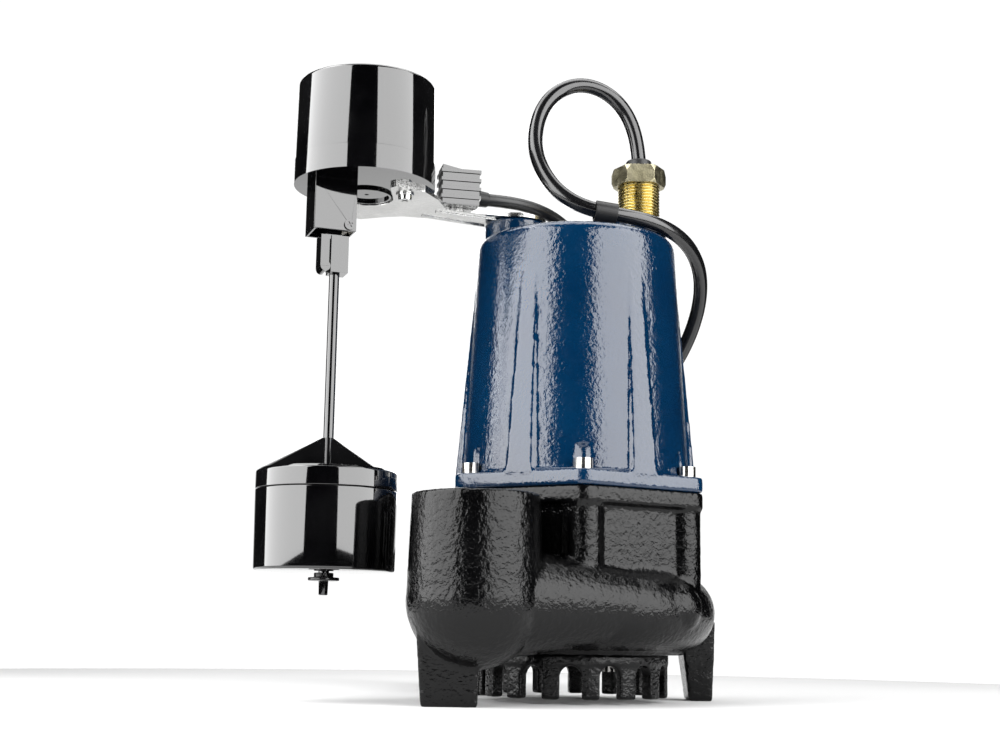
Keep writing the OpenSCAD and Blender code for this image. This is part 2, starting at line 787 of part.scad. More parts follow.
module guide_box() {
  w = guide_size[0];
  d = guide_size[1];
  color(gloss_black) placed() difference() {
    in_guide() translate([-w / 2, -d / 2, guide_foot_z]) difference() {
      cube(guide_size);
      translate([guide_wall, guide_wall, -lap])
        cube([w - 2 * guide_wall, d - 2 * guide_wall, guide_size[2] - 2 + lap]);
    }
    in_guide() translate([pivot_x, -20, pivot_z]) rotate([-90, 0, 0]) cylinder(r = pivot_r + running, h = 40);
    plunger_hole(2.5 + running);
    translate([-117, -29, switch_z - 3]) cylinder(r = 13.7, h = 3 + lap);
  }
}

module pivot_pin() {
  color(gloss_black) placed() in_guide() translate([pivot_x, 0, pivot_z]) rotate([90, 0, 0]) {
    translate([0, 0, -guide_size[1] / 2 - 1]) cylinder(r = pivot_r, h = guide_size[1] + 1 + lap);
    translate([0, 0, guide_size[1] / 2]) difference() {
      cylinder(r = 2.9, h = 1.1);
      for (a = [30, 120]) rotate(a) translate([-1.6, -0.3, 0.5]) cube([3.2, 0.6, 1]);
    }
  }
}

// Rocking lever: the rod's tongue lifts its nose, and its back presses the plunger
module switch_lever() {
  nose_z = tongue_top_z + 0.4;
  color(ceramic) placed() in_guide() translate([0, -lever_w / 2, 0]) rotate([-90, 0, 0]) mirror([0, 1, 0])
    linear_extrude(lever_w) difference() {
      union() {
        translate([pivot_x, pivot_z]) circle(r = 2);
        translate([pivot_x - 2.4, pivot_z]) square([2, nose_z + 3 - pivot_z]);
        translate([pivot_x - rod_arm - 2, nose_z]) square([rod_arm + 1.6, 3]);
      }
      translate([pivot_x, pivot_z]) circle(r = pivot_r + running);
    }
}

module snap_switch() {
  color(ceramic) placed() in_guide() translate([pivot_x - plunger_arm, 0, switch_z + 5]) difference() {
    union() {
      translate([-8, -7, 0]) cube([28, 14, 16]);
      for (s = [0, 9, 16]) translate([s, -2, 15]) cube([0.8, 4, 9]);
    }
    translate([0, 0, -lap]) cylinder(r = 2.8, h = 10);
  }
}

module switch_plunger() {
  foot = tongue_top_z + 4.4;
  color(ceramic) placed() in_guide() translate([pivot_x - plunger_arm, 0, foot]) {
    cylinder(r = 1, h = 4);
    translate([0, 0, 3]) cylinder(r = 2.5, h = switch_z + 7 - foot);
  }
}

module cord_clamp() {
  // clamp block on the bracket beside the switch, with ribs around it and a slanting top
  color(gloss_black) placed() difference() {
    translate([-67, -7, switch_z]) rotate(12) {
      difference() {
        translate([-10.5, -7.5, 0]) cube([21, 15, 28]);
        translate([-20, -20, 24.5]) rotate([0, 12, 0]) cube([60, 40, 20]);
      }
      for (z = [3, 8, 13, 18]) translate([-11.3, -8.3, z]) cube([22.6, 16.6, 2]);
    }
    boot_body(slip);
  }
}

boot_start = [-57, -1, 279.5];

module boot_body(grow) {
  to = unit(switch_route[1] - boot_start);
  between(boot_start - 8 * to, switch_route[0], 5.2 + grow, 4.3 + grow);
}

// Tapered bend relief that the switch cord leaves by
module cord_clamp_boot() {
  to = unit(switch_route[1] - boot_start);
  color(rubber_black) placed() difference() {
    boot_body(0);
    between(boot_start - 12 * to, switch_route[1], switch_cord_d / 2, switch_cord_d / 2);
  }
}

// --- float and rod ---

module at_rod(z) {
  translate([rod_x, rod_y, z]) children();
}

module float_rod() {
  color(gloss_black) placed() {
    at_rod(clip_z) cylinder(r = rod_r, h = head_foot_z + 8 - clip_z);
    at_rod(rod_foot_z) cylinder(r1 = rod_r - 0.5, r2 = rod_r - 0.2, h = clip_z - rod_foot_z + lap);
  }
}

// Ribbed fitting on top of the rod: it hangs in the guide box and carries the tongue
module rod_head() {
  color(gloss_black) placed() difference() {
    at_rod(0) rotate(guide_turn) {
      translate([-9, -5.5, head_foot_z + 3]) cube([4.6, 11, 17]);
      translate([-6.2, -5.4, head_foot_z + 3]) rotate([-90, 0, 0]) cylinder(r = 2.7, h = 10.8);
      translate([-4.6, -3.2, head_foot_z + 1.5]) cube([2.4, 6.4, 18.5]);
      translate([-3.4, -5.5, head_foot_z]) cube([9.4, 11, 20]);
      translate([-6.5, -4.5, head_foot_z + 18]) cube([8.6, 9, 9]);
      translate([-6.5, -4.5, head_foot_z + 18]) cube([tongue_w, 9, tongue_top_z - head_foot_z - 18]);
    }
    at_rod(head_foot_z - lap) cylinder(r = rod_r + running, h = 8 + lap);
  }
}

module float_bore() {
  at_rod(rod_foot_z) cylinder(r = rod_r + running, h = 120);
}

module float_cup() {
  color(gloss_black) placed() difference() {
    at_rod(float_z) {
      difference() {
        cylinder(r1 = float_r - 0.5, r2 = float_r, h = float_part_z - float_z);
        translate([0, 0, float_wall]) cylinder(r = float_r - 0.5 - float_wall, h = 60);
      }
      cylinder(r = rod_r + 1.6, h = float_part_z - float_z);
    }
    float_bore();
  }
}

module float_cone() {
  cone_h = float_tip_z - float_shoulder_z - 1;
  color(gloss_black) placed() difference() {
    at_rod(float_part_z) {
      cylinder(r = float_r, h = float_shoulder_z - float_part_z);
      translate([0, 0, float_shoulder_z - float_part_z]) {
        cylinder(r1 = float_r, r2 = float_r - 1, h = 1);
        translate([0, 0, 1]) cylinder(r1 = float_r - 1, r2 = float_tip_r, h = cone_h);
      }
    }
    difference() {
      at_rod(float_part_z - lap) {
        cylinder(r = float_r - float_wall, h = float_shoulder_z - float_part_z);
        translate([0, 0, float_shoulder_z - float_part_z]) cylinder(r1 = float_r - float_wall, r2 = 1, h = cone_h - 1);
      }
      at_rod(float_part_z - 2 * lap) cylinder(r = rod_r + 1.6, h = 30);
    }
    float_bore();
  }
}

module float_clip() {
  color(gloss_black) placed() at_rod(clip_z) difference() {
    union() {
      cylinder(r = clip_r, h = 1.6);
      cylinder(r = 5, h = clip_h);
    }
    translate([0, 0, -lap]) cylinder(r = rod_r, h = clip_h + 2 * lap);
  }
}

// --- cords ---

module power_cord() {
  color(gloss_black) placed() tube(power_route, power_d / 2);
}

module switch_cord() {
  color(rubber_black) placed() tube(switch_route, switch_cord_d / 2);
}

// An oval ring with round ends: the outer shape of a hank
module hank(run, fold, d, turns) {
  linear_extrude(turns * d) difference() {
    union() {
      translate([-(fold + d) / 2, -run / 2]) square([fold + d, run]);
      for (s = [-1, 1]) translate([0, s * run / 2]) circle(r = (fold + d) / 2);
    }
    translate([-(fold - d) / 2, -run / 2]) square([fold - d, run]);
    for (s = [-1, 1]) translate([0, s * run / 2]) circle(r = (fold - d) / 2);
  }
}

module power_cord_hank() {
  color(gloss_black) placed() translate([hank_x, hank_y, low_hank_z]) hank(hank_run, power_fold, power_d, power_turns);
}

module switch_cord_hank() {
  color(rubber_black) placed() translate([upper_hank_x, upper_hank_y, high_hank_z])
    hank(hank_run, switch_fold, switch_cord_d, switch_turns);
}

// A strap round one run of a hank, standing on z = 0 with the run inside
module tie(w, h) {
  difference() {
    translate([-w / 2 - tie_t, -tie_w / 2, 0]) cube([w + 2 * tie_t, tie_w, h + 2 * tie_t]);
    translate([-w / 2, -tie_w, tie_t]) cube([w, 2 * tie_w, h]);
  }
}

module power_cord_tie() {
  color(rubber_black) placed() translate([hank_x - power_fold / 2, hank_y + 35, low_hank_z - tie_t])
    tie(power_d, power_turns * power_d);
}

module switch_cord_tie() {
  color(rubber_black) placed() translate([upper_hank_x - switch_fold / 2, upper_hank_y - 30, high_hank_z - tie_t])
    tie(switch_cord_d, switch_turns * switch_cord_d);
}

module power_plug() {
  color(gloss_black) placed() translate([hank_x, plug_y, power_plug_z]) rotate([90, 0, 0]) {
    cylinder(r1 = 13, r2 = 12, h = 24);
    translate([0, 0, 24]) cylinder(r1 = 12, r2 = 7, h = 8);
    translate([0, 0, 32]) cylinder(r1 = 6.2, r2 = power_d / 2 + 0.6, h = 14);
  }
}

module blades() {
  for (s = [-1, 1]) translate([s * 6.35, 0, 4]) translate([-0.75, -3.2, 0]) cube([1.5, 6.4, 17]);
  translate([0, -7, 4]) cylinder(r = 2.4, h = 19);
}

module power_plug_blades() {
  color(brass) placed() translate([hank_x, plug_y - 4, power_plug_z]) rotate([-90, 0, 0]) blades();
}

module piggyback_plug() {
  color(rubber_black) placed() translate([upper_hank_x, plug_y, piggyback_z]) rotate([90, 0, 0]) {
    difference() {
      translate([-15, -13, 0]) cube([30, 26, 26]);
      for (s = [-1, 1]) translate([s * 6.35 - 1, -3.6, 20]) cube([2, 7.2, 10]);
      translate([0, -7, 20]) cylinder(r = 2.6, h = 10);
    }
    translate([0, 4.6, 25]) cylinder(r1 = 6, r2 = switch_cord_d / 2 + 0.6, h = 22);
  }
}

module piggyback_blades() {
  color(brass) placed() translate([upper_hank_x, plug_y - 4, piggyback_z]) rotate([-90, 0, 0]) blades();
}

// Soft sleeve on the loop of the power cord
module cord_sleeve() {
  a = [8.5, -31, 264.2];
  b = [20.5, -29.4, 262.8];
  color(rubber_black) placed() difference() {
    between(a, b, power_d / 2 + 1.6, power_d / 2 + 1.6);
    between(a - 2 * unit(b - a), b + 2 * unit(b - a), power_d / 2 + 0.4, power_d / 2 + 0.4);
  }
}

volute_casing();
suction_strainer();
strainer_screws();
motor_housing();
flange_bolts();
seal_plate();
seal_plate_o_ring();
impeller();
impeller_nut();
motor_shaft();
rotor_core();
rotor_end_rings();
stator_core();
stator_windings();
lower_bearing_outer();
lower_bearing_inner();
upper_bearing_outer();
upper_bearing_inner();
wave_washer();
seal_seat();
seal_head();
seal_spring();
run_capacitor();
thermal_protector();
motor_leads();
oil_fill_plug();
gland_body();
gland_nut();
cord_grommet();
switch_bracket();
bracket_screws();
bracket_bolt();
switch_cap();
switch_lid();
guide_box();
pivot_pin();
switch_lever();
snap_switch();
switch_plunger();
cord_clamp();
cord_clamp_boot();
float_rod();
rod_head();
float_cone();
float_cup();
float_clip();
power_cord();
power_cord_hank();
power_cord_tie();
power_plug();
power_plug_blades();
cord_sleeve();
switch_cord();
switch_cord_hank();
switch_cord_tie();
piggyback_plug();
piggyback_blades();
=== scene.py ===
"""Looks of the submersible sump pump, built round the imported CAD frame."""
import math

import bmesh
import bpy
import numpy as np
from mathutils import Matrix, Vector, noise


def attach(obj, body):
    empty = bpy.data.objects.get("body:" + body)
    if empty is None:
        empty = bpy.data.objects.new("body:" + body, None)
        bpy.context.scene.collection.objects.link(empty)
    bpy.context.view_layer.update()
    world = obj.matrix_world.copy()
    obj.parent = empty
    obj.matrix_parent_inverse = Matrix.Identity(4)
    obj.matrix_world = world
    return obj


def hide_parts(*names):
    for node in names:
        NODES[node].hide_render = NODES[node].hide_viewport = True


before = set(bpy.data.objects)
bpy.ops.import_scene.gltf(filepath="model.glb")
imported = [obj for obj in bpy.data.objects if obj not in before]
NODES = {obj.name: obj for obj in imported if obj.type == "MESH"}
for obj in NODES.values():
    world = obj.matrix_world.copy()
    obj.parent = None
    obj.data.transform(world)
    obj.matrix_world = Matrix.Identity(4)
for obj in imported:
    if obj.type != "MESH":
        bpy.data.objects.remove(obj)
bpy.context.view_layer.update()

MM = 0.001
AXIS = Vector((43.9, 20.5, 0.0))  # the pump axis in the row frame, in mm


def row(point):
    """A point given about the pump axis in mm, in the row frame in metres."""
    return (Vector(point) + AXIS) * MM


# ---------------------------------------------------------------- camera

SENSOR_MM, LENS_MM = 36.0, 53.5
CAMERA_AT = (0.00183, -0.79704, 0.0335)
PITCH, ROLL = 0.1743, 0.0155  # radians, up and about the line of sight

camera_data = bpy.data.cameras.new("camera")
camera_data.sensor_width = SENSOR_MM
camera_data.lens = LENS_MM
camera = bpy.data.objects.new("camera", camera_data)
bpy.context.collection.objects.link(camera)
camera.matrix_world = (
    Matrix.Translation(CAMERA_AT)
    @ Matrix.Rotation(math.pi / 2 + PITCH, 4, "X")
    @ Matrix.Rotation(ROLL, 4, "Z")
)
bpy.context.scene.camera = camera


# ---------------------------------------------------------------- cords

def smooth_step(t):
    t = min(max(t, 0.0), 1.0)
    return t * t * (3 - 2 * t)


def through(points, step=3.0):
    """A smooth line through the points, with about one vertex per step."""
    p = [Vector(q) for q in points]
    p = [2 * p[0] - p[1]] + p + [2 * p[-1] - p[-2]]
    line = []
    for a, b, c, d in zip(p, p[1:], p[2:], p[3:]):
        count = max(1, round((c - b).length / step))
        for k in range(count):
            t = k / count
            bend = (2 * a - 5 * b + 4 * c - d) * t * t + (3 * b - a - 3 * c + d) * t ** 3
            line.append(0.5 * (2 * b + (c - a) * t + bend))
    return line + [p[-2]]


def relaxed(line, rounds=30, held=3):
    """The line with its small lumps eased out, ends held."""
    co = np.array(line)
    for _ in range(rounds):
        co[held:-held] += 0.5 * ((co[held - 1:-held - 1] + co[held + 1:len(co) - held + 1]) / 2 - co[held:-held])
    return [Vector(c) for c in co]


class Hank:
    """An oval hank: laps one diameter apart, each dropping a level in its near fold."""

    def __init__(self, x, y, run, fold, diameter, top):
        self.x, self.y, self.run, self.fold, self.d, self.top = x, y, run, fold, diameter, top
        self.lap = 2 * run + math.pi * fold

    def at(self, s):
        laps, s = divmod(s, self.lap)
        arc, half, r = math.pi * self.fold / 2, self.run / 2, self.fold / 2
        if s < self.run:
            x, y = r, s - half
        elif s < self.run + arc:
            a = (s - self.run) / r
            x, y = r * math.cos(a), half + r * math.sin(a)
        elif s < 2 * self.run + arc:
            x, y = -r, half - (s - self.run - arc)
        else:
            a = math.pi + (s - 2 * self.run - arc) / r
            x, y = r * math.cos(a), -half + r * math.sin(a)
        drop = smooth_step((s / self.lap - 0.8) / 0.2)
        return Vector((self.x + x, self.y + y, self.top - self.d * (laps + drop)))

    def turns(self, entry_y, laps, step=3.0):
        start = entry_y - (self.y - self.run / 2)
        count = round((laps * self.lap - start) / step)
        return [self.at(start + (laps * self.lap - start) * k / count) for k in range(1, count)]

    def inward(self, laps, radius, end_y, end_z, step=3.0):
        """From the start of the right run across to the middle in two equal arcs, then straight to end_y."""
        start = self.at(laps * self.lap)
        turn = math.acos(1 - self.fold / 2 / (2 * radius))
        line, count = [], round(2 * radius * turn / step)
        for k in range(count + 1):
            a = 2 * turn * k / count
            if a < turn:
                x, y = start.x - radius + radius * math.cos(a), start.y + radius * math.sin(a)
            else:
                b = 2 * turn - a
                x = self.x + radius - radius * math.cos(b)
                y = start.y + 2 * radius * math.sin(turn) - radius * math.sin(b)
            line.append(Vector((x, y, start.z + (end_z - start.z) * smooth_step(k / count))))
        last = line[-1]
        count = max(1, round((end_y - last.y) / step))
        line += [Vector((last.x, last.y + (end_y - last.y) * k / count, end_z)) for k in range(1, count + 1)]
        return line


POWER_D, SWITCH_D = 8.4, 7.2
POWER_ROUTE = [
    (35.7, 2, 298), (35.7, 2, 303.5), (35.5, 2, 311), (34.5, 2, 319), (31.5, 1, 329), (25.5, 0, 338), (16.5, -2, 345),
    (5, -5, 348.5), (-6, -8, 346), (-15.5, -11, 339), (-22, -14, 328), (-25, -18, 314), (-25, -22, 301),
    (-22, -25, 290), (-16.5, -28, 279.5), (-8.5, -30, 271), (2, -31, 265.5), (14.5, -30.5, 263),
    (29, -27, 262.5), (42, -20.5, 261.5), (55, -10, 258.5), (66, 4, 253), (72.5, 18, 245), (75, 30, 236),
    (75, 41, 226), (72, 51, 214), (66, 60, 201), (58, 67, 188), (48, 73, 173), (36, 78, 158), (22, 81, 142),
    (8, 84, 126), (-5, 88, 109), (-16, 95, 91), (-24, 106, 73), (-29.5, 120, 57.5), (-32, 137, 46.5),
    (-32.3, 154, 40.5), (-32.3, 170, 39), (-32.3, 186, 38.8),
]
SWITCH_ROUTE = [
    (-54, 1, 279.5), (-51.5, 3, 279.5), (-44, 7, 280.3), (-33, 13, 281), (-22, 20, 280.3), (-12, 28, 278),
    (-3, 37, 273.5), (5, 47, 266), (12.5, 57, 255), (16.5, 64, 240), (16.5, 68.5, 224), (13, 72, 206),
    (7, 75, 188), (-2, 79, 171), (-12, 83, 154), (-22, 88, 139), (-31, 95, 125), (-36.5, 105, 113),
    (-39, 118, 102), (-40.2, 133, 93.5), (-40.4, 149, 87.5), (-40.4, 166, 84.4), (-40.4, 182, 83.7),
    (-40.4, 198, 83.6),
]
power_hank = Hank(-57.5, 170.4, 126, 50.4, POWER_D, 38.8)
switch_hank = Hank(-62, 172, 126, 43.2, SWITCH_D, 83.6)


def cord_curve(name, line, diameter):
    data = bpy.data.curves.new(name, "CURVE")
    data.dimensions = "3D"
    # the bevel is multiplied by each point's radius, which the bound box also reads
    data.bevel_depth = 1.0
    data.bevel_resolution = 5
    data.use_fill_caps = True
    data.twist_mode = "MINIMUM"
    spline = data.splines.new("POLY")
    spline.points.add(len(line) - 1)
    for point, at in zip(spline.points, line):
        point.co = (*row(at), 1.0)
        point.radius = diameter / 2 * MM
    spline.use_smooth = True
    piece = bpy.data.objects.new(name, data)
    bpy.context.collection.objects.link(piece)
    return piece


power_line = (
    relaxed(through(POWER_ROUTE)) + power_hank.turns(186, 4)
    + power_hank.inward(4, 4 * POWER_D, 163, 13.5)
)
switch_line = (
    relaxed(through(SWITCH_ROUTE)) + switch_hank.turns(198, 5)
    + switch_hank.inward(5, 4 * SWITCH_D, 162, 47.6)
)
power_cord = cord_curve("power_cord_jacket", power_line, POWER_D)
switch_cord = cord_curve("switch_cord_jacket", switch_line, SWITCH_D)

# ---------------------------------------------------------------- materials

class Nodes:
    """A small helper round one material's node tree."""

    def __init__(self, name, colour, roughness, metallic=0.0, coat=0.0, coat_roughness=0.03):
        self.material = bpy.data.materials.new(name)
        self.material.use_nodes = True
        self.tree = self.material.node_tree
        self.shader = self.tree.nodes["Principled BSDF"]
        self.set("Base Color", (*colour, 1.0))
        self.set("Roughness", roughness)
        self.set("Metallic", metallic)
        self.set("Coat Weight", coat)
        self.set("Coat Roughness", coat_roughness)
        self.place = self.tree.nodes.new("ShaderNodeTexCoord").outputs["Object"]

    def set(self, socket, value):
        self.shader.inputs[socket].default_value = value

    def link(self, a, b):
        self.tree.links.new(a, b)

    def stretched(self, scale):
        mapping = self.tree.nodes.new("ShaderNodeMapping")
        mapping.inputs["Scale"].default_value = scale
        self.link(self.place, mapping.inputs["Vector"])
        return mapping.outputs["Vector"]

    def noise(self, scale, detail=3.0, rough=0.5, stretch=None):
        node = self.tree.nodes.new("ShaderNodeTexNoise")
        node.inputs["Scale"].default_value = scale
        node.inputs["Detail"].default_value = detail
        node.inputs["Roughness"].default_value = rough
        self.link(self.stretched(stretch) if stretch else self.place, node.inputs["Vector"])
        return node.outputs["Fac"]

    def ramp(self, fac, low, high, start=0.35, end=0.65):
        """Values or colours from low to high over the middle of a noise."""
        node = self.tree.nodes.new("ShaderNodeValToRGB")
        node.color_ramp.elements[0].position = start
        node.color_ramp.elements[1].position = end
        for element, value in zip(node.color_ramp.elements, (low, high)):
            element.color = (*value, 1.0) if isinstance(value, tuple) else (value, value, value, 1.0)
        self.link(fac, node.inputs["Fac"])
        return node.outputs["Color"]

    def bump(self, heights, onto=("Normal",)):
        """Bumps from (height output, distance in metres) pairs, one on the other."""
        last = None
        for height, distance in heights:
            node = self.tree.nodes.new("ShaderNodeBump")
            node.inputs["Strength"].default_value = 1.0
            node.inputs["Distance"].default_value = distance
            self.link(height, node.inputs["Height"])
            if last is not None:
                self.link(last, node.inputs["Normal"])
            last = node.outputs["Normal"]
        for socket in onto:
            self.link(last, self.shader.inputs[socket])


def painted_casting(name, dark, light, peel, depth, coat, specular):
    """Thick gloss paint over a sand casting: colour drifts a little, fine orange peel."""
    n = Nodes(name, dark, 0.2, coat=coat, coat_roughness=0.05)
    n.set("Specular IOR Level", specular)
    n.link(n.ramp(n.noise(22, 4), dark, light), n.shader.inputs["Base Color"])
    n.link(n.ramp(n.noise(160, 3), 0.08, 0.18), n.shader.inputs["Roughness"])
    n.bump([(n.noise(peel, 2.5, 0.55), depth), (n.noise(peel * 3.1, 2), depth * 0.16)], ("Normal", "Coat Normal"))
    return n.material


def moulded(name, colour, roughness, grain=900, depth=0.00001, spread=0.05, coat=0.0):
    """Moulded plastic or rubber: slight sheen changes and a fine grain."""
    n = Nodes(name, colour, roughness, coat=coat)
    lifted = tuple(min(1.0, c * 1.35 + 0.002) for c in colour)
    n.link(n.ramp(n.noise(35, 4), colour, lifted), n.shader.inputs["Base Color"])
    n.link(n.ramp(n.noise(60, 5), roughness, roughness + spread), n.shader.inputs["Roughness"])
    n.bump([(n.noise(grain, 2), depth), (n.noise(28, 2), depth * 6)])
    return n.material


def metal(name, colour, tint, roughness, spread=0.12, stretch=(1, 1, 1), grain=700, depth=0.000012):
    """Bare metal with drawn or turned grain and faint stains."""
    n = Nodes(name, colour, roughness, metallic=1.0)
    n.link(n.ramp(n.noise(60, 4), colour, tint), n.shader.inputs["Base Color"])
    n.link(n.ramp(n.noise(grain, 4, stretch=stretch), roughness, roughness + spread), n.shader.inputs["Roughness"])
    n.bump([(n.noise(grain, 3, stretch=stretch), depth)])
    return n.material


def laminated(name):
    """Stacked half-millimetre steel sheets with varnish between them."""
    n = Nodes(name, (0.42, 0.43, 0.44), 0.35, metallic=1.0)
    wave = n.tree.nodes.new("ShaderNodeTexWave")
    wave.bands_direction = "Z"
    wave.inputs["Scale"].default_value = 320
    wave.inputs["Distortion"].default_value = 0.4
    n.link(n.place, wave.inputs["Vector"])
    n.link(n.ramp(wave.outputs["Fac"], (0.12, 0.11, 0.1), (0.45, 0.45, 0.46)), n.shader.inputs["Base Color"])
    n.link(n.ramp(n.noise(200), 0.3, 0.5), n.shader.inputs["Roughness"])
    n.bump([(wave.outputs["Fac"], 0.00003)])
    return n.material


def wound(name):
    """Varnished copper wire laid side by side."""
    n = Nodes(name, (0.72, 0.4, 0.22), 0.3, metallic=1.0, coat=0.6)
    wave = n.tree.nodes.new("ShaderNodeTexWave")
    wave.wave_type = "RINGS"
    wave.rings_direction = "Z"
    wave.inputs["Scale"].default_value = 330
    wave.inputs["Distortion"].default_value = 2.0
    n.link(n.place, wave.inputs["Vector"])
    n.link(n.ramp(wave.outputs["Fac"], (0.35, 0.13, 0.05), (0.8, 0.42, 0.22)), n.shader.inputs["Base Color"])
    n.link(n.ramp(n.noise(120), 0.25, 0.45), n.shader.inputs["Roughness"])
    n.bump([(wave.outputs["Fac"], 0.0002)])
    return n.material


# grain of the peel per metre, its depth in metres, coat weight, specular level
blue_paint = painted_casting("blue_paint", (0.0003, 0.0135, 0.042), (0.0006, 0.018, 0.052),
                             430, 0.00028, 0.5, 0.5)
black_paint = painted_casting("black_paint", (0.0008, 0.0008, 0.0009), (0.0016, 0.0016, 0.0018),
                              430, 0.0005, 0.0, 0.26)
gloss_plastic = moulded("gloss_plastic", (0.0006, 0.0006, 0.0008), 0.05, grain=300, depth=0.000001,
                        spread=0.03, coat=1.0)
satin_plastic = moulded("satin_plastic", (0.004, 0.004, 0.0045), 0.22, grain=900, depth=0.000006, spread=0.1)
rubber = moulded("rubber", (0.005, 0.005, 0.0055), 0.36, grain=1200, depth=0.00001, spread=0.12)
power_jacket = moulded("power_jacket", (0.0025, 0.0025, 0.003), 0.18, grain=500, depth=0.000002,
                       spread=0.06, coat=0.5)
switch_jacket = moulded("switch_jacket", (0.005, 0.005, 0.0055), 0.32, grain=600, depth=0.000003, spread=0.1)
cream_plastic = moulded("cream_plastic", (0.72, 0.68, 0.58), 0.3, spread=0.12)
stainless = metal("stainless", (0.7, 0.7, 0.69), (0.6, 0.6, 0.59), 0.16, stretch=(0.3, 4, 1), grain=500)
turned_steel = metal("turned_steel", (0.56, 0.55, 0.53), (0.4, 0.39, 0.37), 0.14, stretch=(0.15, 0.15, 3), grain=900)
brass = metal("brass", (0.62, 0.52, 0.22), (0.45, 0.36, 0.14), 0.2, grain=420)
dull_brass = metal("dull_brass", (0.52, 0.48, 0.34), (0.34, 0.31, 0.2), 0.28, grain=260, depth=0.00002)
cast_aluminium = metal("cast_aluminium", (0.72, 0.73, 0.74), (0.6, 0.61, 0.62), 0.3, grain=350, depth=0.00005)
lamination_steel = laminated("lamination_steel")
copper_wire = wound("copper_wire")


def coat_with(piece, material):
    piece.data.materials.clear()
    piece.data.materials.append(material)


def paint_node(node, material):
    """A CAD node keeps its shape: only what its slots hold is changed."""
    piece = NODES[node]
    if not piece.material_slots:
        piece.data.materials.append(material)
    for s in piece.material_slots:
        s.material = material


# ---------------------------------------------------------------- building helpers

def mesh_object(name, vertices, faces):
    data = bpy.data.meshes.new(name)
    data.from_pydata([tuple(v) for v in vertices], [], faces)
    piece = bpy.data.objects.new(name, data)
    bpy.context.collection.objects.link(piece)
    return piece


def round_off(node_or_piece, width, segments=2, angle=32):
    """Small rounded edges and smooth shading, by modifiers only."""
    piece = NODES[node_or_piece] if isinstance(node_or_piece, str) else node_or_piece
    weld = piece.modifiers.new("weld", "WELD")
    weld.merge_threshold = 0.000002
    bevel = piece.modifiers.new("bevel", "BEVEL")
    bevel.width = width * MM
    bevel.segments = segments
    bevel.limit_method = "ANGLE"
    bevel.angle_limit = math.radians(angle)
    bevel.use_clamp_overlap = True
    bevel.harden_normals = False
    normals = piece.modifiers.new("normals", "WEIGHTED_NORMAL")
    normals.keep_sharp = True


def finished(data, material, sharp=35):
    """Smooth shading, with edges over the given angle kept crisp."""
    data.materials.clear()
    data.materials.append(material)
    data.polygons.foreach_set("use_smooth", np.ones(len(data.polygons), bool))
    if sharp:
        data.set_sharp_from_angle(angle=math.radians(sharp))
    data.update()


def filleted(profile):
    """A profile of (r, z, fillet) corners in mm, with each corner rounded by an arc."""
    corners = [Vector((p[0], p[1])) for p in profile]
    line = [corners[0]]
    for i in range(1, len(profile) - 1):
        size = profile[i][2] if len(profile[i]) > 2 else 0.0
        a, b = corners[i - 1] - corners[i], corners[i + 1] - corners[i]
        if size <= 0 or a.length < 1e-6 or b.length < 1e-6:
            line.append(corners[i])
            continue
        a.normalize()
        b.normalize()
        half = a.angle(b) / 2
        if half > math.radians(88):
            line.append(corners[i])
            continue
        reach = size / math.tan(half)
        start, end = corners[i] + a * reach, corners[i] + b * reach
        centre = corners[i] + (a + b).normalized() * (size / math.sin(half))
        for k in range(7):
            mix = (start - centre).lerp(end - centre, k / 6)
            line.append(centre + mix.normalized() * size)
    line.append(corners[-1])
    return line


def lathe(name, profile, centre, material, body, nodes=(), segments=128, sharp=40):
    """A turned or moulded round piece about a vertical axis; the profile's ends on the axis are closed."""
    line = filleted(profile)
    x0, y0 = centre
    vertices, rings = [], []
    for p in line:
        if p.x < 1e-6:
            rings.append([len(vertices)] * segments)
            vertices.append(row((x0, y0, p.y)))
            continue
        rings.append(list(range(len(vertices), len(vertices) + segments)))
        for k in range(segments):
            a = 2 * math.pi * k / segments
            vertices.append(row((x0 + p.x * math.cos(a), y0 + p.x * math.sin(a), p.y)))
    faces = []
    for lower, upper in zip(rings, rings[1:]):
        for k in range(segments):
            quad = [lower[k], lower[(k + 1) % segments], upper[(k + 1) % segments], upper[k]]
            face = list(dict.fromkeys(quad))
            if len(face) > 2:
                faces.append(face)
    piece = mesh_object(name, vertices, faces)
    mend(piece.data)
    finished(piece.data, material, sharp)
    if nodes:
        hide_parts(*nodes)
    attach(piece, body)
    return piece


def mend(data):
    """Doubles merged and faces turned outward."""
    work = bmesh.new()
    work.from_mesh(data)
    bmesh.ops.remove_doubles(work, verts=work.verts, dist=1e-7)
    bmesh.ops.recalc_face_normals(work, faces=work.faces)
    work.to_mesh(data)
    work.free()


